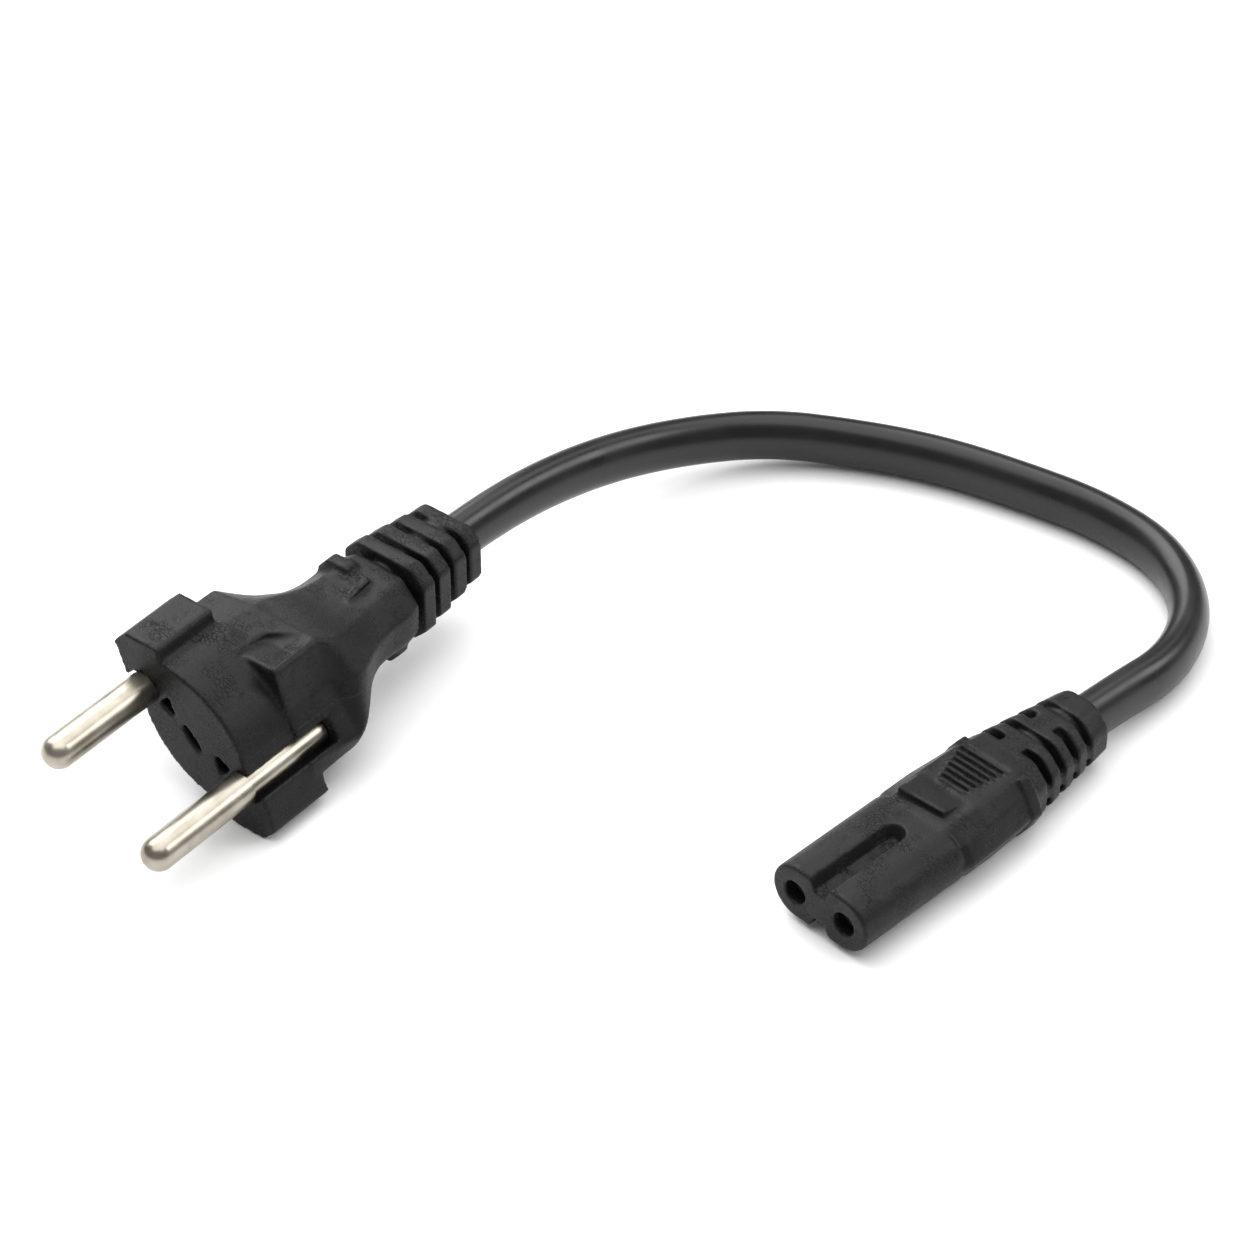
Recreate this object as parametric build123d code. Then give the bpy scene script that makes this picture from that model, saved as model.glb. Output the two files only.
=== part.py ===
from build123d import *
import math
import os

# Short two-core power cord: a round-pin plug, a flat twin cable and a figure-8 connector.
# Millimetres, +Z up. The cord lies on the plane Z = 0, and the origin is under the middle of
# the box round the plug and the connector. The plug and the connector are each drawn with
# their axis along +X, pins or face outward, and are then turned about Z to where they lie.

# Where the plug and the connector lie
plug_face_at = (-51.4, -7.2)
plug_heading = 231.6
connector_face_at = (31.1, -33.4)
connector_heading = 225.2

# Pins
pin_diameter = 4.8
pin_length = 19.0
pin_spacing = 19.0
row_tilt = 26.5
root_diameter = 4.2
root_stand = 0.2
pin_shank = 14.6
crimp_diameter = 3.6
crimp_length = 5.5
crimp_wall = 1.0

# Cable
cable_width = 7.8
cable_thickness = 5.8
core_diameter = 2.5
core_spacing = 3.0
conductor_diameter = 1.3
wire_clearance = 0.05

# Plug base and neck
block_length = 11.0
base_length = 18.0
barrel_length = 10.6
shoulder_start = 9.2
barrel_tuck = 1.0
half_height = 11.9
slot_depth = 2.2
slot_reach = 6.0
slot_end = 14.8
recess_depth = 3.0
ridge_floor = 8.6
hollow_depth = 0.9
hollow_deepest = 14.4
block_round = 0.6
shoulder_round = 0.9
collar_start = 33.2
collar_length = 2.2
neck_end = 37.9
relief_start = 38.9
plug_length = 52.8

# Plug strain relief
plug_rings = 4
ring_length = 2.5
ring_round = 1.2
ring_width = 14.6
ring_height = 12.4
ring_cut = 2.4
ring_taper = 0.81
web_width = 1.8
web_recess = 1.5
core_wall = 0.9

# Bridge that holds the pins
bridge_front = 4.5
bridge_grip = 0.6
bridge_height = 7.0

# Connector
hole_spacing = 8.6
hole_diameter = 3.5
lobe_radius = 4.3
lobe_spacing = 8.0
nose_length = 19.0
groove_width = 3.6
groove_floor = 1.6
groove_depth = 2.0
groove_length = 15.8
grip_height = 10.4
grip_end = 35.5
ear_width = 17.2
ear_start = 32.6
ear_length = 2.0
clear = 5.0
connector_relief_end = 52.0
connector_slot = 1.3
connector_slot_pitch = 3.2
connector_slots = 4
first_slot = 37.9
relief_root_width = 14.6
relief_root_height = 10.0
relief_tip_width = 9.8
relief_tip_height = 9.2
rib_count = 7
rib_pitch = 1.15
rib_depth = 0.4
rib_length = 8.4
rib_shortening = 0.6
rib_front = 26.0
ledge_front = 20.0
carrier_front = 13.2
carrier_waist = 1.7
contact_wall = 0.5
contact_tail = 6.0

plug_height = half_height
connector_height = grip_height / 2
facing = Plane.YZ


def turned(points):
    # the same points turned half a turn about the axis
    return [(-y, -z) for y, z in points]


def ring_of(points, radius=0.0):
    # a face from corner points, with its corners rounded
    face = make_face(Polyline(*points, close=True))
    if radius:
        face = fillet(face.vertices(), radius)
    return face


def at(face, x):
    # the face stood square to the axis, x along it
    return facing.offset(x) * face


def along(face, front, back):
    # the face drawn out along the axis from front to back
    return extrude(at(face, back), front - back, dir=(1, 0, 0))


def octagon(width, height, cut, radius):
    # a rectangle with cut corners
    w = width / 2
    h = height / 2
    return ring_of([(w - cut, h), (w, h - cut), (w, cut - h), (w - cut, -h),
                    (cut - w, -h), (-w, cut - h), (-w, h - cut), (cut - w, h)], radius)


def placed(shape, face_at, height, heading):
    # a piece drawn along +X, moved to where it lies
    return Pos(face_at[0], face_at[1], height) * Rot(0, 0, heading) * shape


def pin_place(side):
    # the middle of a pin in the plug's section
    half = side * pin_spacing / 2
    return (half * math.cos(math.radians(row_tilt)), -half * math.sin(math.radians(row_tilt)))


# Corners of the plug's section, near half; the far half is the same turned about the axis
slot_edge = (9.35, -2.1)
lip_edge = (11.9, -4.5)
block_corners = [(13.8, -9.6), (11.6, -half_height), (5.8, -half_height)]
block_foot = (5.4, -9.8)
barrel_low = (-2.8, -7.4)
shoulder_front = [(6.7, 8.7), (8.5, 2.4), (12.2, -4.4), (13.0, -7.4), (5.4, -9.4)]
shoulder_back = [(6.5, 8.5), (8.3, 2.4), (13.8, -4.8), (12.4, -7.4), (4.6, -8.5)]


def base_section(corners):
    # the plug's section from one half's corners, with the barrel as two arcs
    lines = []
    for turn in (1, -1):
        path = [(turn * y, turn * z) for y, z in [slot_edge, lip_edge, *corners, block_foot]]
        lines.append(Polyline(*path))
        lines.append(ThreePointArc(path[-1], (turn * barrel_low[0], turn * barrel_low[1]),
                                   (-turn * slot_edge[0], -turn * slot_edge[1])))
    return make_face(lines)


def block_section():
    # the section through the two blocks, with their outer corners rounded
    face = base_section(block_corners)
    outer = [lip_edge, *block_corners]
    outer = outer + turned(outer)
    corners = [v for v in face.vertices() if any(math.dist((v.X, v.Y), c) < 0.01 for c in outer)]
    return fillet(corners, block_round)


def neck_section(width, height, share):
    # the shoulder's section drawn towards an oval of the given size
    points = []
    for y, z in shoulder_back + turned(shoulder_back):
        angle = math.atan2(z, y)
        oval = (width / 2 * math.cos(angle), height / 2 * math.sin(angle))
        points.append((y + (oval[0] - y) * share, z + (oval[1] - z) * share))
    return ring_of(points, shoulder_round)


def plug_relief():
    # the rings, the sleeve inside them and the webs in the gaps
    pitch = (plug_length - relief_start - ring_length) / (plug_rings - 1)
    sleeve = Ellipse(cable_thickness / 2 + core_wall, cable_width / 2 + core_wall)
    solid = along(sleeve, -collar_start, -plug_length + 0.2)
    for i in range(plug_rings):
        size = 1 - (1 - ring_taper) * i / (plug_rings - 1)
        front = -relief_start - i * pitch
        ring = octagon(ring_width * size, ring_height * size, ring_cut * size, ring_round)
        solid += along(ring, front, front - ring_length)
        wide = ring_width * size - 2 * web_recess
        tall = ring_height * size - 2 * web_recess
        web = Rectangle(wide, web_width) + Rectangle(web_width, tall)
        solid += along(web, front - ring_length + pitch, front)
    return solid


def collar():
    # one half of the split band round the neck, on the far upper side
    corners = [(-7.2, 2.4), (-7.2, 4.3), (-5.4, 6.4), (-1.5, 6.6), (-1.5, 2.4)]
    return along(ring_of(corners, 0.6), -collar_start, -collar_start - collar_length)


def dart():
    # the small pointed rise on top of the neck
    tip = ring_of([(2.1, 6.0), (2.4, 6.0), (2.3, 5.6)])
    heel = ring_of([(0.0, 6.9), (2.4, 6.6), (1.6, 5.4)])
    return loft([at(tip, -collar_start + 3.8), at(heel, -collar_start - 0.6)])


def plug_shell():
    # the moulded body of the plug before its inserts are taken out
    body = along(base_section([]), 0, -barrel_length - barrel_tuck)
    body += along(block_section(), 0, -block_length)
    body += loft([
        at(ring_of(shoulder_front + turned(shoulder_front), shoulder_round), -shoulder_start),
        at(ring_of(shoulder_back + turned(shoulder_back), shoulder_round), -base_length),
    ])
    neck_length = neck_end - base_length
    body += loft([
        at(ring_of(shoulder_back + turned(shoulder_back), shoulder_round), -base_length),
        at(neck_section(23.4, 15.2, 0.8), -base_length - 0.22 * neck_length),
        at(neck_section(19.4, 14.0, 1.0), -base_length - 0.4 * neck_length),
        at(neck_section(16.8, 13.2, 1.0), -base_length - 0.6 * neck_length),
        at(neck_section(15.0, 12.8, 1.0), -neck_end),
    ])
    body += collar() + dart()
    body += Rot(180, 0, 0) * collar()
    # shallow hollow beside the ridge, on both sides
    edge = ridge_floor - hollow_depth
    hollow = loft([
        at(ring_of([(0.2, 12), (5.9, 12), (5.9, ridge_floor), (0.2, ridge_floor)]), -shoulder_start + 0.1),
        at(ring_of([(0.4, 12), (5.7, 12), (5.7, edge), (0.4, edge)]), -hollow_deepest),
        at(ring_of([(4.2, 12), (5.5, 12), (5.5, ridge_floor), (4.2, ridge_floor)]), -base_length),
    ], ruled=True)
    for turn in (0, 180):
        body -= Rot(turn, 0, 0) * hollow
    # openings of the core pins in the face: one slim, and one three-cornered beside each pin
    slim = Pos(-0.5, -0.8) * Rot(0, 0, -48.5) * Ellipse(2.35, 0.65)
    corner = [(3.2, -1.2), (4.4, -4.6), (6.2, -2.6)]
    for hole in (slim, ring_of(corner, 0.3), ring_of(turned(corner), 0.3)):
        body -= along(hole, 1, -recess_depth)
    return body + plug_relief()


def pin(side):
    # a round-ended pin with its root and the crimp barrel behind it
    y, z = pin_place(side)
    r = pin_diameter / 2
    root = root_diameter / 2
    profile = Polyline((pin_length - r, 0), (-pin_shank - crimp_length, 0),
                       (-pin_shank - crimp_length, crimp_diameter / 2),
                       (-pin_shank, crimp_diameter / 2), (-pin_shank, root),
                       (root_stand, root), (root_stand, r), (pin_length - r, r))
    tip = ThreePointArc((pin_length - r, r),
                        (pin_length - r + r * math.cos(math.pi / 4), r * math.sin(math.pi / 4)),
                        (pin_length, 0))
    closing = Line((pin_length, 0), (pin_length - r, 0))
    solid = revolve(make_face([profile, tip, closing]), Axis.X)
    bore = Pos(-pin_shank - crimp_length, 0, 0) * Rot(0, 90, 0) * Cylinder(
        conductor_diameter / 2 + wire_clearance, 2 * (crimp_length - crimp_wall))
    return Pos(0, y, z) * (solid - bore)


def bridge():
    # the hard plate across the two pins, inside the base
    plate = SlotCenterToCenter(pin_spacing - pin_diameter + 2 * bridge_grip - bridge_height, bridge_height)
    shape = along(Rot(0, 0, -row_tilt) * plate, -bridge_front, -barrel_length + 1)
    for side in (-1, 1):
        shape -= pin(side)
    return shape


def slot(side):
    # the open slot that shows the root of one pin
    run = (lip_edge[0] - slot_edge[0], lip_edge[1] - slot_edge[1])
    middle = ((lip_edge[0] + slot_edge[0]) / 2, (lip_edge[1] + slot_edge[1]) / 2)
    angle = math.degrees(math.atan2(run[1], run[0]))
    block = Pos(*middle) * Rot(0, 0, angle) * Pos(0, (slot_reach - slot_depth) / 2) * Rectangle(
        math.hypot(*run), slot_reach + slot_depth)
    return Rot(0 if side > 0 else 180, 0, 0) * along(block, 1, -slot_end)


def connector_relief():
    # the tapered relief, with slots cut through to its sleeve
    front = grip_end - 1.0
    length = connector_relief_end - front
    tapered = loft([
        at(octagon(relief_root_width, relief_root_height, 2.6, 2.4), -front),
        at(octagon(relief_tip_width, relief_tip_height, 2.6, 2.4), -connector_relief_end),
    ])
    sleeve = Ellipse(cable_thickness / 2 + core_wall, cable_width / 2 + 0.3)
    inner = along(sleeve, -front, -connector_relief_end)
    for i in range(connector_slots):
        at_x = -first_slot - i * connector_slot_pitch
        share = (at_x + front) / -length
        wide = relief_root_width + (relief_tip_width - relief_root_width) * share
        tall = relief_root_height + (relief_tip_height - relief_root_height) * share
        gap = along(Rectangle(30, 30), at_x + connector_slot / 2, at_x - connector_slot / 2)
        # the first and third slots are bridged at the top and at the bottom, the others are open
        keep = Rectangle(wide - 0.5, 1.8)
        if i % 2 == 0:
            keep += Rectangle(2 * web_width, tall)
        gap -= along(keep, at_x + connector_slot, at_x - connector_slot)
        tapered -= gap - inner
    return tapered


def grip_section(half_width, top, flat):
    # the grip's section: flat top and bottom, and a parting ridge at each side
    quarter = [(half_width, 0.0), (half_width - 1.5, 0.58 * top), (flat, top)]
    upper = quarter + [(-y, z) for y, z in quarter[::-1]]
    lower = [(y, -z) for y, z in upper[1:-1][::-1]]
    return ring_of(upper + lower, 0.9)


def connector_shell():
    # the moulded body of the connector before its inserts are taken out
    hull = SlotCenterToCenter(lobe_spacing, 2 * lobe_radius)
    nose = along(hull, 0, -nose_length)
    nose = fillet(nose.edges().group_by(Axis.X)[-1], 0.45)
    bottom = lobe_radius - groove_depth
    rise = groove_depth + 1.0
    half_top = groove_width / 2 + (groove_width - groove_floor) / 2 * (rise - groove_depth) / groove_depth
    profile = ring_of([(-groove_floor / 2, bottom), (groove_floor / 2, bottom),
                       (half_top, bottom + rise), (-half_top, bottom + rise)])
    groove = along(profile, 1, -groove_length + groove_width / 2)
    groove += Pos(-groove_length + groove_width / 2, 0, bottom + rise / 2) * Cone(
        groove_floor / 2, half_top, rise)
    for turn in (0, 180):
        nose -= Rot(turn, 0, 0) * groove
    top = grip_height / 2
    grip = loft([
        at(grip_section(8.35, lobe_radius - 0.05, 4.4), -nose_length + 0.9),
        at(grip_section(9.0, lobe_radius + 0.3, 4.8), -nose_length - 1.4),
    ], ruled=True)
    grip += loft([
        at(grip_section(9.0, lobe_radius + 0.3, 4.8), -nose_length - 1.4),
        at(grip_section(8.8, top, 5.0), -rib_front + 1.0),
        at(grip_section(8.3, top, 4.9), -grip_end + 3.5),
        at(grip_section(7.5, top - 0.2, 4.4), -grip_end),
    ], ruled=True)
    ear = grip_section(ear_width / 2, top - 0.1, 5.6) - Rectangle(10.4, ear_width)
    body = nose + grip + along(ear, -ear_start, -ear_start - ear_length) + connector_relief()
    # plateau on top, with a step across its front and down its near side
    ledge = [(0, -4.6), (-0.5, 3.1), (-3.6, 3.3), (-6.0, -1.0), (-5.0, -4.6)]
    plateau = Pos(-ledge_front, 0) * ring_of(ledge)
    body += Pos(0, 0, lobe_radius) * extrude(plateau, top - lobe_radius)
    # crosswise grip ribs, each standing in a shallow pocket on the top
    for i in range(rib_count):
        x = -rib_front - i * rib_pitch
        length = rib_length - (rib_count - 1 - i) * rib_shortening
        body -= Pos(x, -0.1 * i, top) * Box(rib_pitch * 0.55, length, 2 * rib_depth)
    return body


def contact(side):
    # a split sleeve for the inlet's pin, with a solid tail that takes the conductor
    r = hole_diameter / 2
    sleeve = along(Circle(r) - Circle(r - contact_wall), -2.0, -carrier_front - 1.0)
    slit = along(Rectangle(0.5, 3 * r), -1.0, -carrier_front)
    tail = along(Circle(r), -carrier_front - 0.9, -carrier_front - contact_tail)
    bore = along(Circle(conductor_diameter / 2 + wire_clearance), -carrier_front - 3.0, -carrier_front - 20)
    return Pos(0, side * hole_spacing / 2, 0) * ((sleeve - slit) + (tail - bore))


def carrier():
    # the hard block that holds the two contacts apart
    block = along(SlotCenterToCenter(hole_spacing, 5.6), -4.0, -carrier_front + 0.6)
    room = Box(4 * carrier_front, groove_width + 0.8, 2 * groove_depth)
    for side in (-1, 1):
        block -= Pos(0, 0, side * (carrier_waist + groove_depth)) * room
        hole = along(Circle(hole_diameter / 2), clear, -carrier_front - clear)
        block -= Pos(0, side * hole_spacing / 2, 0) * hole
    return block


route = [
    (-26.6, 24.1, 11.9),
    (-17.4, 35.5, 11.9),
    (-7.9, 46.2, 11.3),
    (2.5, 55.8, 9.4),
    (13.8, 63.2, 7.0),
    (27.0, 67.9, 5.0),
    (40.6, 66.5, 3.95),
    (52.0, 62.8, 3.9),
    (63.0, 57.0, 3.9),
    (74.2, 50.0, 3.9),
    (82.8, 40.6, 3.9),
    (85.6, 28.4, 3.9),
    (81.4, 16.8, 4.1),
    (72.6, 8.4, 4.9),
    (64.2, 0.0, 5.2),
    (57.2, -7.2, 5.2),
]


def bend_radii(points):
    # for each corner, 0.45 of its shorter run over the tangent of half its turn
    radii = []
    for a, b, c in zip(points, points[1:], points[2:]):
        before = Vector(*b) - Vector(*a)
        after = Vector(*c) - Vector(*b)
        half = math.radians(before.get_angle(after)) / 2
        radii.append(0.45 * min(before.length, after.length) / math.tan(half))
    return radii


def cord_path(points):
    # straight runs joined by tangent arcs
    return FilletPolyline(*points, radius=bend_radii(points))


def swept(face, path):
    # a face square to the start of the path, drawn along it
    ahead = path % 0
    plane = Plane(origin=path @ 0, x_dir=Vector(0, 0, 1).cross(ahead), z_dir=ahead)
    return sweep(plane * face, path=path)


cable_path = cord_path(route)
print("bend radii", [round(r, 1) for r in bend_radii(route)])
print("cable length", round(cable_path.length, 1))


def wire_route(lift, plug_side, connector_side):
    # one core: from its crimp, through the cable, to its contact
    py, pz = pin_place(plug_side)
    plug_turn = Rot(0, 0, plug_heading)
    plug_at = Vector(*plug_face_at, plug_height)
    crimp = -pin_shank - crimp_wall
    inside = []
    for x, y, z in [(crimp, py, pz), (crimp - 8.5, py, pz), (crimp - 15.0, py * 0.25, pz * 0.1 + lift)]:
        inside.append(tuple(plug_at + (plug_turn * Pos(x, y, z)).position))
    end_turn = Rot(0, 0, connector_heading)
    end_at = Vector(*connector_face_at, connector_height)
    tail = -carrier_front - contact_tail
    outside = []
    ey = connector_side * hole_spacing / 2
    for x, y, z in [(tail - 13.0, connector_side * 0.6, lift), (tail - 7.0, ey, 0), (tail + 1.0, ey, 0)]:
        outside.append(tuple(end_at + (end_turn * Pos(x, y, z)).position))
    cable = [(x, y, z + lift) for x, y, z in route]
    return inside + cable + outside


wires = {
    "line": wire_route(core_spacing / 2, 1, 1),
    "neutral": wire_route(-core_spacing / 2, -1, -1),
}
paths = {name: cord_path(points) for name, points in wires.items()}


def stripped(depth):
    # the room in front of a crimp's end, where the wire is bare
    return Pos(plug_length - depth, 0, 0) * Box(2 * plug_length, plug_length, plug_length)


nodes = {}
cores = {}
for name, path in paths.items():
    hole = swept(Circle(core_diameter / 2 + wire_clearance), path)
    outer = swept(Circle(core_diameter / 2), path)
    inner = swept(Circle(conductor_diameter / 2 + wire_clearance), path)
    nodes[name + "_conductor"] = swept(Circle(conductor_diameter / 2), path)
    plug_bare = placed(stripped(pin_shank + crimp_length), plug_face_at, plug_height, plug_heading)
    connector_bare = placed(
        stripped(carrier_front + contact_tail), connector_face_at, connector_height, connector_heading)
    nodes[name + "_insulation"] = outer - inner - plug_bare - connector_bare
    cores[name] = hole

sheath_room = swept(Ellipse(cable_thickness / 2, cable_width / 2), cable_path)
nodes["cable_sheath"] = sheath_room - cores["line"] - cores["neutral"]

body = plug_shell()
for side in (-1, 1):
    body = body - slot(side) - pin(side)
body = placed(body - bridge(), plug_face_at, plug_height, plug_heading)
body = body - sheath_room - cores["line"] - cores["neutral"]
nodes["plug_body"] = body
nodes["pin_bridge"] = placed(bridge(), plug_face_at, plug_height, plug_heading)
nodes["line_pin"] = placed(pin(1), plug_face_at, plug_height, plug_heading)
nodes["neutral_pin"] = placed(pin(-1), plug_face_at, plug_height, plug_heading)

shell = connector_shell() - carrier()
for side in (-1, 1):
    hole = along(Circle(hole_diameter / 2), clear, -carrier_front - contact_tail)
    shell -= Pos(0, side * hole_spacing / 2, 0) * hole
shell = placed(shell, connector_face_at, connector_height, connector_heading)
shell = shell - sheath_room - cores["line"] - cores["neutral"]
nodes["connector_body"] = shell
nodes["contact_carrier"] = placed(carrier(), connector_face_at, connector_height, connector_heading)
nodes["line_contact"] = placed(contact(1), connector_face_at, connector_height, connector_heading)
nodes["neutral_contact"] = placed(contact(-1), connector_face_at, connector_height, connector_heading)

os.makedirs("parts", exist_ok=True)
for name, shape in nodes.items():
    solids = shape.solids()
    solid = solids[0] if len(solids) == 1 else Compound(solids)
    print(name, [round(s.volume, 2) for s in solids])
    export_step(solid, "parts/" + name + ".step")
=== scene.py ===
import math
import bmesh
import bpy
from mathutils import Matrix, Vector
from mathutils.bvhtree import BVHTree


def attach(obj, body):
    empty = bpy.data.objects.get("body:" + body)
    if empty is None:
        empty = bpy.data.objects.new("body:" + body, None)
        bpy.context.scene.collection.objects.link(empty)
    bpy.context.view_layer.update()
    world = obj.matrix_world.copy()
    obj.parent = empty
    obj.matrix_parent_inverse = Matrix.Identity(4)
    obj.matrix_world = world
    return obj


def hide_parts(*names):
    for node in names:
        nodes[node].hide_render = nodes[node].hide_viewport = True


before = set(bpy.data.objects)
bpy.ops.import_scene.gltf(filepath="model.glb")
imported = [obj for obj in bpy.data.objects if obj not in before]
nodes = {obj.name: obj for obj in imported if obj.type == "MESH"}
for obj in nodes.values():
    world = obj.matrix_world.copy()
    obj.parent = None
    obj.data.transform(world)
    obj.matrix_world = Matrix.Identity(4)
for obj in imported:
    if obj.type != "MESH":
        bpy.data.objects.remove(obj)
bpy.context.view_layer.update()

mm = 0.001
rootBody = "root"


# ---- where the plug and the connector lie, in millimetres, each with its own x outward along it

plugPlace = {"face": (-51.4, -7.2, 11.9), "heading": 231.6}
connectorPlace = {"face": (31.1, -33.4, 5.2), "heading": 225.2}


def frameOf(place):
    turn = Matrix.Rotation(math.radians(place["heading"]), 4, "Z")
    return Matrix.Translation([value * mm for value in place["face"]]) @ turn


def placed(place, points):
    stand = frameOf(place)
    return [stand @ (Vector(point) * mm) for point in points]


# ---- node helpers

black = (0, 0, 0)
white = (1, 1, 1)
noiseLow, noiseHigh = 0.3, 0.7        # nearly all of a noise lies between these


def newMaterial(name):
    material = bpy.data.materials.new(name)
    material.use_nodes = True
    return material, material.node_tree.nodes, material.node_tree.links


def addNode(nodeList, kind, **values):
    # a value goes to the socket of its name, or else to the node's own setting
    made = nodeList.new(kind)
    for key, value in values.items():
        if key in made.inputs:
            made.inputs[key].default_value = value
        else:
            setattr(made, key, value)
    return made


def addNoise(nodeList, links, vector, **values):
    noise = addNode(nodeList, "ShaderNodeTexNoise", **values)
    links.new(vector, noise.inputs["Vector"])
    return noise.outputs


def objectSpace(nodeList):
    return nodeList.new("ShaderNodeTexCoord").outputs["Object"]


def ramp(nodeList, links, source, stops):
    made = nodeList.new("ShaderNodeValToRGB")
    for element, (place, colour) in zip(made.color_ramp.elements, stops):
        element.position = place
        element.color = (*colour, 1)
    links.new(source, made.inputs["Fac"])
    return made.outputs["Color"]


def colourFrom(nodeList, links, source, shader, settings, low=noiseLow, high=noiseHigh):
    colour = ramp(nodeList, links, source, [(low, settings["dark"]), (high, settings["light"])])
    links.new(colour, shader.inputs["Base Color"])


def roughnessFrom(nodeList, links, source, shader, settings):
    spread = nodeList.new("ShaderNodeMapRange")
    spread.inputs["From Min"].default_value = noiseLow
    spread.inputs["From Max"].default_value = noiseHigh
    spread.inputs["To Min"].default_value = settings["roughness"][0]
    spread.inputs["To Max"].default_value = settings["roughness"][1]
    links.new(source, spread.inputs["Value"])
    links.new(spread.outputs["Result"], shader.inputs["Roughness"])


def stackBumps(nodeList, links, shader, layers):
    # each layer is a height, its strength and its depth in metres
    below = None
    for height, strength, depth in layers:
        bump = addNode(nodeList, "ShaderNodeBump", Strength=strength, Distance=depth)
        links.new(height, bump.inputs["Height"])
        if below:
            links.new(below, bump.inputs["Normal"])
        below = bump.outputs["Normal"]
    links.new(below, shader.inputs["Normal"])


def mathStep(nodeList, links, operation, first, second=None, value=None):
    step = addNode(nodeList, "ShaderNodeMath", operation=operation)
    links.new(first, step.inputs[0])
    if second is not None:
        links.new(second, step.inputs[1])
    if value is not None:
        step.inputs[1].default_value = value
    return step.outputs[0]


# ---- moulded plastic of the plug and the connector

mouldedPlastic = {
    "dark": (0.0045, 0.0045, 0.0048),
    "light": (0.0085, 0.0085, 0.0088),
    "roughness": (0.38, 0.52),
    "specular": 0.2,
    "grainSize": 0.28 * mm,
    "grainDepth": 0.06 * mm,
    "grainStrength": 0.7,
    "flowSize": 8 * mm,
    "flowDepth": 0.25 * mm,
    "flowStrength": 0.6,
    "crackSize": 0.65 * mm,
    "crackDepth": 0.14 * mm,
    "crackStrength": 0.65,
    "crackWidth": 0.09,               # share of a crack's cell
    "wanderScale": 900.0,             # how tightly the cracks bend, and how far
    "wanderReach": 1.6 * mm,
    "patchScale": 260.0,
    "patchEdge": (0.46, 0.6),         # cracked below the first, plain above the second
    "seamHalf": 0.09 * mm,
    "seamStrength": 0.5,
}


def mouldCracks(nodeList, links, vector, settings):
    # fine cracks in patches, where the mould's skin has wrinkled
    wander = addNoise(nodeList, links, vector, Scale=settings["wanderScale"], Detail=3.0)
    bent = addNode(nodeList, "ShaderNodeVectorMath", operation="SCALE")
    bent.inputs["Scale"].default_value = settings["wanderReach"]
    links.new(wander["Color"], bent.inputs[0])
    moved = addNode(nodeList, "ShaderNodeVectorMath", operation="ADD")
    links.new(vector, moved.inputs[0])
    links.new(bent.outputs[0], moved.inputs[1])
    cells = addNode(nodeList, "ShaderNodeTexVoronoi", feature="DISTANCE_TO_EDGE")
    cells.inputs["Scale"].default_value = 1 / settings["crackSize"]
    links.new(moved.outputs[0], cells.inputs["Vector"])
    crack = ramp(nodeList, links, cells.outputs["Distance"], [(0.0, black), (settings["crackWidth"], white)])
    patches = addNoise(nodeList, links, vector, Scale=settings["patchScale"], Detail=2.0)
    cracked, plain = settings["patchEdge"]
    where = ramp(nodeList, links, patches["Fac"], [(cracked, white), (plain, black)])
    return mathStep(nodeList, links, "MAXIMUM", crack, where)


def partingLine(nodeList, links, vector, settings, height):
    apart = addNode(nodeList, "ShaderNodeSeparateXYZ")
    links.new(vector, apart.inputs[0])
    off = mathStep(nodeList, links, "SUBTRACT", apart.outputs["Z"], value=height)
    away = mathStep(nodeList, links, "ABSOLUTE", off)
    share = mathStep(nodeList, links, "DIVIDE", away, value=settings["seamHalf"])
    return ramp(nodeList, links, share, [(0.0, white), (1.0, black)])


def makeMouldedPlastic(name, settings, seamHeight):
    material, nodeList, links = newMaterial(name)
    shader = nodeList["Principled BSDF"]
    vector = objectSpace(nodeList)
    flow = addNoise(nodeList, links, vector, Scale=1 / settings["flowSize"], Detail=4.0, Roughness=0.55)
    grain = addNoise(nodeList, links, vector, Scale=1 / settings["grainSize"], Detail=3.0)
    cracks = mouldCracks(nodeList, links, vector, settings)
    seam = partingLine(nodeList, links, vector, settings, seamHeight)
    colourFrom(nodeList, links, flow["Fac"], shader, settings)
    roughnessFrom(nodeList, links, grain["Fac"], shader, settings)
    stackBumps(nodeList, links, shader, [
        (grain["Fac"], settings["grainStrength"], settings["grainDepth"]),
        (flow["Fac"], settings["flowStrength"], settings["flowDepth"]),
        (cracks, settings["crackStrength"], settings["crackDepth"]),
        (seam, settings["seamStrength"], settings["seamHalf"]),
    ])
    shader.inputs["Specular IOR Level"].default_value = settings["specular"]
    return material


# ---- plated pins, drawn along their length

platedMetal = {
    "dark": (0.27, 0.243, 0.198),
    "light": (0.4, 0.37, 0.312),
    "tarnishEdge": (0.32, 0.6),
    "roughness": (0.27, 0.36),
    "heading": plugPlace["heading"],
    "drawnSize": 0.2 * mm,
    "drawnStretch": 0.02,
    "drawnDepth": 0.008 * mm,
    "tarnishScale": 220.0,
    "speckScale": 2400.0,
    "speckDepth": 0.006 * mm,
}


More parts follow.
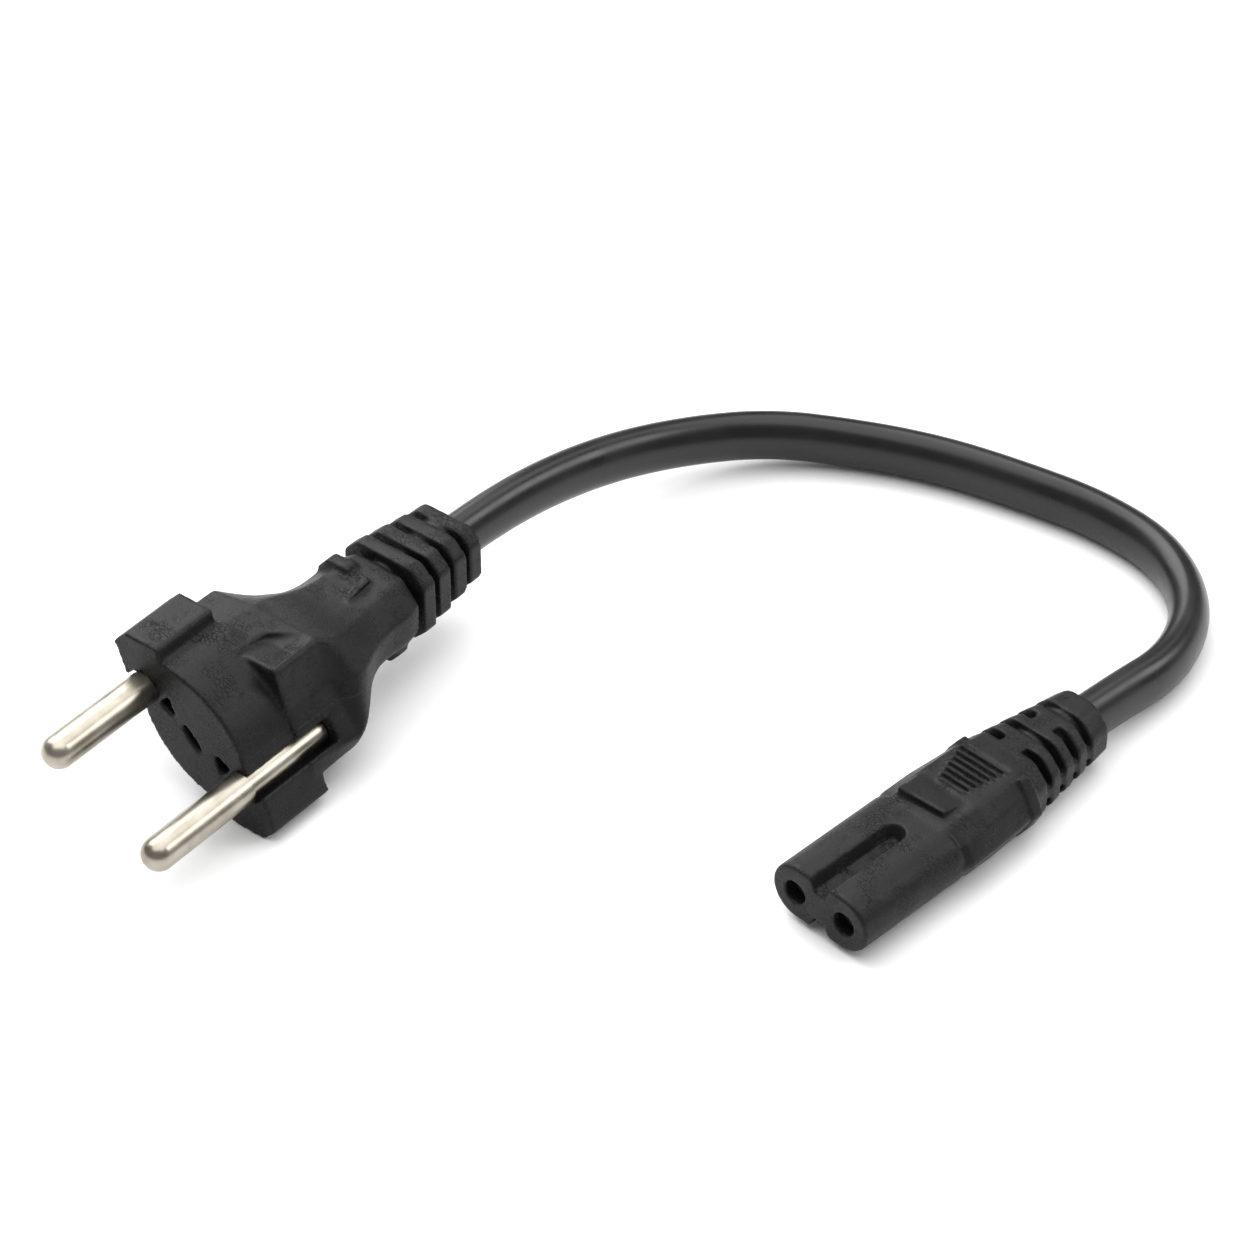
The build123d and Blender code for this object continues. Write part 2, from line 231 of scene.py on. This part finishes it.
def makePlatedMetal(name, settings):
    material, nodeList, links = newMaterial(name)
    shader = nodeList["Principled BSDF"]
    rotate = addNode(nodeList, "ShaderNodeVectorRotate", rotation_type="EULER_XYZ")
    rotate.inputs["Rotation"].default_value = (0, 0, math.radians(-settings["heading"]))
    links.new(objectSpace(nodeList), rotate.inputs["Vector"])
    alongPin = rotate.outputs["Vector"]
    stretch = addNode(nodeList, "ShaderNodeMapping")
    stretch.inputs["Scale"].default_value = (settings["drawnStretch"], 1, 1)
    links.new(alongPin, stretch.inputs["Vector"])
    drawn = addNoise(nodeList, links, stretch.outputs["Vector"], Scale=1 / settings["drawnSize"], Detail=4.0)
    tarnish = addNoise(nodeList, links, alongPin, Scale=settings["tarnishScale"], Detail=4.0)
    specks = addNoise(nodeList, links, alongPin, Scale=settings["speckScale"], Detail=2.0)
    colourFrom(nodeList, links, tarnish["Fac"], shader, settings, *settings["tarnishEdge"])
    roughnessFrom(nodeList, links, tarnish["Fac"], shader, settings)
    stackBumps(nodeList, links, shader, [
        (drawn["Fac"], 0.12, settings["drawnDepth"]),
        (specks["Fac"], 0.1, settings["speckDepth"]),
    ])
    shader.inputs["Metallic"].default_value = 1.0
    return material


# ---- sheath of the cable, with its pattern along the cable

sheathPlastic = {
    "dark": (0.004, 0.004, 0.0043),
    "light": (0.008, 0.008, 0.0083),
    "roughness": (0.25, 0.36),
    "specular": 0.36,
    "map": "alongCable",
    "drawnScale": (6, 80, 1),
    "drawnDepth": 0.02 * mm,
    "cloudScale": 160.0,
    "grainScale": 2600.0,
    "grainDepth": 0.015 * mm,
}


def makeSheathPlastic(name, settings):
    material, nodeList, links = newMaterial(name)
    shader = nodeList["Principled BSDF"]
    lay = addNode(nodeList, "ShaderNodeUVMap", uv_map=settings["map"])
    stretch = addNode(nodeList, "ShaderNodeMapping")
    stretch.inputs["Scale"].default_value = settings["drawnScale"]
    links.new(lay.outputs["UV"], stretch.inputs["Vector"])
    drawn = addNoise(nodeList, links, stretch.outputs["Vector"], Scale=1.0, Detail=3.0)
    vector = objectSpace(nodeList)
    cloud = addNoise(nodeList, links, vector, Scale=settings["cloudScale"], Detail=4.0)
    grain = addNoise(nodeList, links, vector, Scale=settings["grainScale"], Detail=2.0)
    colourFrom(nodeList, links, cloud["Fac"], shader, settings)
    roughnessFrom(nodeList, links, cloud["Fac"], shader, settings)
    stackBumps(nodeList, links, shader, [
        (drawn["Fac"], 0.2, settings["drawnDepth"]),
        (grain["Fac"], 0.3, settings["grainDepth"]),
    ])
    shader.inputs["Specular IOR Level"].default_value = settings["specular"]
    return material


# ---- inner pieces: contacts, cores, conductors and the two hard plates

innerPieces = {
    "line_contact": {
        "dark": (0.2, 0.14, 0.06), "light": (0.3, 0.22, 0.1), "metallic": 1.0, "roughness": (0.4, 0.5)},
    "line_conductor": {
        "dark": (0.6, 0.25, 0.12), "light": (0.75, 0.36, 0.2), "metallic": 1.0, "roughness": (0.25, 0.35)},
    "line_insulation": {
        "dark": (0.08, 0.03, 0.015), "light": (0.12, 0.05, 0.02), "metallic": 0.0, "roughness": (0.4, 0.5)},
    "neutral_insulation": {
        "dark": (0.01, 0.06, 0.25), "light": (0.02, 0.09, 0.32), "metallic": 0.0, "roughness": (0.4, 0.5)},
    "pin_bridge": {
        "dark": (0.006, 0.006, 0.006), "light": (0.01, 0.01, 0.01), "metallic": 0.0, "roughness": (0.4, 0.5)},
}
innerPieces["neutral_contact"] = innerPieces["line_contact"]
innerPieces["neutral_conductor"] = innerPieces["line_conductor"]
innerPieces["contact_carrier"] = innerPieces["pin_bridge"]

innerSkin = {
    "cloudScale": 600.0,
    "cloudDepth": 0.02 * mm,
    "grainScale": 3000.0,
}


def makeInner(name, settings):
    material, nodeList, links = newMaterial(name)
    shader = nodeList["Principled BSDF"]
    vector = objectSpace(nodeList)
    cloud = addNoise(nodeList, links, vector, Scale=innerSkin["cloudScale"], Detail=3.0)
    grain = addNoise(nodeList, links, vector, Scale=innerSkin["grainScale"], Detail=2.0)
    colourFrom(nodeList, links, cloud["Fac"], shader, settings)
    roughnessFrom(nodeList, links, grain["Fac"], shader, settings)
    stackBumps(nodeList, links, shader, [(cloud["Fac"], 0.2, innerSkin["cloudDepth"])])
    shader.inputs["Metallic"].default_value = settings["metallic"]
    return material


def dress(node, material):
    piece = nodes[node]
    piece.data.materials.clear()
    piece.data.materials.append(material)


metal = makePlatedMetal("platedMetal", platedMetal)
for pinNode in ("line_pin", "neutral_pin"):
    dress(pinNode, metal)
for innerNode, innerSettings in innerPieces.items():
    if innerNode.endswith(("contact", "bridge", "carrier")):
        dress(innerNode, makeInner(innerNode, innerSettings))
print("materials done")


# ---- moulded bodies: the solid, with added forms, made even and smoothed round

plugMoulding = {
    "node": "plug_body",
    "place": plugPlace,
    "voxel": 0.32 * mm,
    "passes": 4,
    # the stretch of the neck where the cores come through its skin, along the plug's axis
    "skinFrom": -27.5 * mm,
    "skinTo": -21.5 * mm,
    "skinReach": 0.3 * mm,
}

# the grip's places are in millimetres from the connector's face and its middle plane
connectorMoulding = {
    "node": "connector_body",
    "place": connectorPlace,
    "voxel": 0.25 * mm,
    "passes": 3,
    "ledge": [(-19.9, -4.7), (-20.4, 3.1), (-24.0, 3.3), (-25.0, -4.6)],
    "ledgeFront": 5.7,
    "ledgeBack": 5.15,
    "ledgeFoot": 4.0,
    "ribs": 7,
    "ribFront": -25.4,
    "ribPitch": 1.15,
    "ribDrift": -0.1,                 # each rib's middle lies this much further sideways
    "ribLength": (4.4, 7.8),
    "ribFoot": {"height": 4.8, "half": 0.3},
    "ribTop": {"height": 5.6, "half": 0.18},
}


def addHull(shape, points):
    corners = [shape.verts.new(point) for point in points]
    made = bmesh.ops.convex_hull(shape, input=corners)
    spare = {v for v in made["geom_interior"] + made["geom_unused"] if isinstance(v, bmesh.types.BMVert)}
    bmesh.ops.delete(shape, geom=list(spare), context="VERTS")


def closeNeck(shape, settings):
    # fills the cores' rooms where they reach the neck's skin, flush with it
    inward = frameOf(settings["place"]).inverted()
    body = nodes[settings["node"]].data
    for core in ("line_insulation", "neutral_insulation"):
        near = BVHTree.FromPolygons(
            [v.co for v in nodes[core].data.vertices], [p.vertices for p in nodes[core].data.polygons])
        rim = []
        for vertex in body.vertices:
            x = (inward @ vertex.co).x
            if settings["skinFrom"] < x < settings["skinTo"]:
                if near.find_nearest(vertex.co, settings["skinReach"])[0] is not None:
                    rim.append(vertex.co.copy())
        addHull(shape, rim)


def addLedge(shape, settings):
    # the wedge in front of the ribs, highest at its front
    front = settings["ledge"][:2]
    back = settings["ledge"][2:]
    wedge = [(x, y, settings["ledgeFront"]) for x, y in front]
    wedge += [(x, y, settings["ledgeBack"]) for x, y in back]
    wedge += [(x, y, settings["ledgeFoot"]) for x, y in front + back]
    addHull(shape, placed(settings["place"], wedge))


def addRibs(shape, settings):
    # crosswise ribs that grow longer to the rear, each narrower at its top
    short, long = settings["ribLength"]
    for index in range(settings["ribs"]):
        reach = (short + (long - short) * index / (settings["ribs"] - 1)) / 2
        middle = settings["ribDrift"] * index
        x = settings["ribFront"] - index * settings["ribPitch"]
        bar = [(x + dx, middle + dy, edge["height"])
               for edge in (settings["ribFoot"], settings["ribTop"])
               for dx in (-edge["half"], edge["half"]) for dy in (-reach, reach)]
        addHull(shape, placed(settings["place"], bar))


def addGrip(shape, settings):
    addLedge(shape, settings)
    addRibs(shape, settings)


def makeMoulding(name, settings, addForms):
    shape = bmesh.new()
    shape.from_mesh(nodes[settings["node"]].data)
    addForms(shape, settings)
    mesh = bpy.data.meshes.new(name)
    shape.to_mesh(mesh)
    shape.free()
    piece = bpy.data.objects.new(name, mesh)
    bpy.context.collection.objects.link(piece)
    seamHeight = settings["place"]["face"][2] * mm
    mesh.materials.clear()
    mesh.materials.append(makeMouldedPlastic(name + "Plastic", mouldedPlastic, seamHeight))
    even = piece.modifiers.new("even", "REMESH")
    even.mode = "VOXEL"
    even.voxel_size = settings["voxel"]
    even.use_smooth_shade = True
    soften = piece.modifiers.new("soften", "SMOOTH")
    soften.factor = 0.5
    soften.iterations = settings["passes"]
    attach(piece, rootBody)
    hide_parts(settings["node"])
    return piece


plugPiece = makeMoulding("plugMoulding", plugMoulding, closeNeck)
connectorPiece = makeMoulding("connectorMoulding", connectorMoulding, addGrip)
print("mouldings done")


# ---- cable

cable = {
    "width": 7.8 * mm,
    "thickness": 5.8 * mm,
    "around": 40,
    "node": "cable_sheath",
    "slot": "sheath",
}

# the cable's route in millimetres, from inside the plug to inside the connector
cableRoute = [
    (-26.6, 24.1, 11.9),
    (-17.4, 35.5, 11.9),
    (-7.9, 46.2, 11.3),
    (2.5, 55.8, 9.4),
    (13.8, 63.2, 7.0),
    (27.0, 67.9, 5.0),
    (40.6, 66.5, 3.95),
    (52.0, 62.8, 3.9),
    (63.0, 57.0, 3.9),
    (74.2, 50.0, 3.9),
    (82.8, 40.6, 3.9),
    (85.6, 28.4, 3.9),
    (81.4, 16.8, 4.1),
    (72.6, 8.4, 4.9),
    (64.2, 0.0, 5.2),
    (57.2, -7.2, 5.2),
]

tube = {
    "steps": 16,                      # rings to each stretch between two points of a route
    "map": sheathPlastic["map"],
    "mapLength": 0.05,                # metres of cable to one unit of the map
}


def smoothLine(points):
    curve = bpy.data.curves.new("routeLine", "CURVE")
    curve.dimensions = "3D"
    curve.resolution_u = tube["steps"]
    spline = curve.splines.new("NURBS")
    spline.points.add(len(points) - 1)
    for point, place in zip(spline.points, points):
        point.co = (*[value * mm for value in place], 1)
    spline.order_u = 3
    spline.use_endpoint_u = True
    holder = bpy.data.objects.new("routeLine", curve)
    mesh = bpy.data.meshes.new_from_object(holder)
    line = [vertex.co.copy() for vertex in mesh.vertices]
    bpy.data.objects.remove(holder)
    bpy.data.curves.remove(curve)
    bpy.data.meshes.remove(mesh)
    return line


def addRings(shape, line, settings):
    # an oval ring at each place of the line, its longer way upright
    rings = []
    size = Matrix.Diagonal((settings["thickness"] / 2, settings["width"] / 2, 1, 1))
    for index, place in enumerate(line):
        ahead = (line[min(index + 1, len(line) - 1)] - line[max(index - 1, 0)]).normalized()
        across = Vector((0, 0, 1)).cross(ahead).normalized()
        upward = ahead.cross(across)
        stand = Matrix((across, upward, ahead)).transposed().to_4x4()
        stand.translation = place
        ring = bmesh.ops.create_circle(shape, segments=settings["around"], radius=1, matrix=stand @ size)
        rings.append(ring["verts"])
    return rings


def edgesOf(ring):
    touching = {edge for vertex in ring for edge in vertex.link_edges}
    return [edge for edge in touching if all(vertex in ring for vertex in edge.verts)]


def skinRings(shape, rings):
    for first, second in zip(rings, rings[1:]):
        bmesh.ops.bridge_loops(shape, edges=edgesOf(first) + edgesOf(second))
    for ring in (rings[0], rings[-1]):
        bmesh.ops.contextual_create(shape, geom=ring)
    bmesh.ops.recalc_face_normals(shape, faces=shape.faces)
    for face in shape.faces:
        face.smooth = len(face.verts) == 4


def mapAlong(shape, rings, travelled):
    # lays the map along the tube, where the last strip's turns run on past one
    place = {vertex: (travelled[index], step / len(ring))
             for index, ring in enumerate(rings) for step, vertex in enumerate(ring)}
    layer = shape.loops.layers.uv.new(tube["map"])
    for face in shape.faces:
        lastStrip = max(place[loop.vert][1] for loop in face.loops) > 0.9
        for loop in face.loops:
            along, turn = place[loop.vert]
            loop[layer].uv = (along / tube["mapLength"], turn + (1 if lastStrip and turn < 0.1 else 0))


def makeTube(name, settings, route, material):
    line = smoothLine(route)
    travelled = [0.0]
    for start, end in zip(line, line[1:]):
        travelled.append(travelled[-1] + (end - start).length)
    shape = bmesh.new()
    rings = addRings(shape, line, settings)
    skinRings(shape, rings)
    mapAlong(shape, rings, travelled)
    mesh = bpy.data.meshes.new(name)
    shape.to_mesh(mesh)
    shape.free()
    piece = bpy.data.objects.new(name, mesh)
    bpy.context.collection.objects.link(piece)
    mesh.materials.append(material)
    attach(piece, rootBody)
    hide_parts(settings["node"])
    return piece, line, travelled[-1]


cablePiece, cableLine, cableLength = makeTube(
    "cableSheath", cable, cableRoute, makeSheathPlastic("sheathPlastic", sheathPlastic))
print("cable done", round(cableLength, 4))


# ---- cores inside the cable: each from its pin's crimp to its contact

wires = {
    "line": {"pin": (8.5, -4.24), "lift": 1.5, "contact": 4.3, "slot": "brown_core"},
    "neutral": {"pin": (-8.5, 4.24), "lift": -1.5, "contact": -4.3, "slot": "blue_core"},
}

# each layer's ends, in millimetres along the plug and along the connector
layers = {
    "insulation": {"width": 2.5 * mm, "from": -20.1, "to": -19.2, "around": 16},
    "conductor": {"width": 1.3 * mm, "from": -15.6, "to": -18.2, "around": 16, "slot": "copper"},
}

# where the cores bend, and the share of their offset that is left where they meet
coreBends = {
    "crimp": -20.8,
    "neck": -30.6,
    "neckShare": 0.25,
    "relief": -32.2,
    "reliefShare": 0.14,
    "contact": -26.2,
}


def coreRoute(wire, layer):
    y, z = wire["pin"]
    lift = wire["lift"]
    side = wire["contact"]
    atPlug = placed(plugPlace, [
        (layer["from"], y, z),
        (coreBends["crimp"], y, z),
        (coreBends["neck"], coreBends["neckShare"] * y, lift),
    ])
    atConnector = placed(connectorPlace, [
        (coreBends["relief"], coreBends["reliefShare"] * side, lift),
        (coreBends["contact"], side, 0),
        (layer["to"], side, 0),
    ])
    between = [(x, y, z + lift) for x, y, z in cableRoute]
    return [point / mm for point in atPlug] + between + [point / mm for point in atConnector]


for wireName, wire in wires.items():
    for layerName, layer in layers.items():
        core = {
            "width": layer["width"],
            "thickness": layer["width"],
            "around": layer["around"],
            "node": wireName + "_" + layerName,
            "slot": layer.get("slot", wire["slot"]),
        }
        makeTube(wireName.title() + layerName.title(), core, coreRoute(wire, layer),
                 makeInner(core["node"], innerPieces[core["node"]]))
print("cores done")


# ---- floor, light and camera

floorLook = {
    "half": 4.0,                      # metres
    "colour": (0.86, 0.86, 0.865, 1),
    "roughness": 0.8,
    "specular": 0.1,
}

lamps = {
    "overhead": {"place": (0.0, 0.10, 0.8), "size": (1.2, 1.2), "power": 11.5},
    "backLeft": {"place": (-0.42, 0.62, 0.6), "size": (0.9, 0.7), "power": 8.5},
    "right": {"place": (0.75, 0.1, 0.5), "size": (0.35, 0.35), "power": 2.5},
}
lampAim = (0.006, 0.02, 0.005)
roomLight = 0.36

view = {
    "target": (6.2 * mm, 29.7 * mm, 0),
    "distance": 680.9 * mm,
    "elevation": 40,
    "focal": 4846,                    # in pixels of a picture as wide as frame
    "frame": 1254,
    "sensor": 36,
}


def makeFloor(settings):
    shape = bmesh.new()
    bmesh.ops.create_grid(shape, x_segments=1, y_segments=1, size=settings["half"])
    mesh = bpy.data.meshes.new("floor")
    shape.to_mesh(mesh)
    shape.free()
    floor = bpy.data.objects.new("floor", mesh)
    bpy.context.collection.objects.link(floor)
    material = newMaterial("paleFloor")[0]
    shader = material.node_tree.nodes["Principled BSDF"]
    shader.inputs["Base Color"].default_value = settings["colour"]
    shader.inputs["Roughness"].default_value = settings["roughness"]
    shader.inputs["Specular IOR Level"].default_value = settings["specular"]
    floor.data.materials.append(material)


def makeLamp(name, settings):
    data = bpy.data.lights.new(name, "AREA")
    data.shape = "RECTANGLE"
    data.size, data.size_y = settings["size"]
    data.energy = settings["power"]
    lamp = bpy.data.objects.new(name, data)
    lamp.location = settings["place"]
    towards = Vector(lampAim) - Vector(settings["place"])
    lamp.rotation_euler = towards.to_track_quat("-Z", "Y").to_euler()
    bpy.context.collection.objects.link(lamp)


def makeRoom(strength):
    world = bpy.data.worlds.new("softRoom")
    world.use_nodes = True
    background = world.node_tree.nodes["Background"]
    background.inputs["Color"].default_value = (1, 1, 1, 1)
    background.inputs["Strength"].default_value = strength
    bpy.context.scene.world = world
    bpy.context.scene.view_settings.view_transform = "Standard"


def makeCamera(settings):
    data = bpy.data.cameras.new("camera")
    data.sensor_width = settings["sensor"]
    data.lens = settings["focal"] / settings["frame"] * settings["sensor"]
    camera = bpy.data.objects.new("camera", data)
    elevation = math.radians(settings["elevation"])
    back = Vector((0, -math.cos(elevation), math.sin(elevation)))
    camera.location = Vector(settings["target"]) + back * settings["distance"]
    camera.rotation_euler = (-back).to_track_quat("-Z", "Y").to_euler()
    bpy.context.collection.objects.link(camera)
    bpy.context.scene.camera = camera


makeFloor(floorLook)
for lampName, lampSettings in lamps.items():
    makeLamp(lampName, lampSettings)
makeRoom(roomLight)
makeCamera(view)
print("stage done")
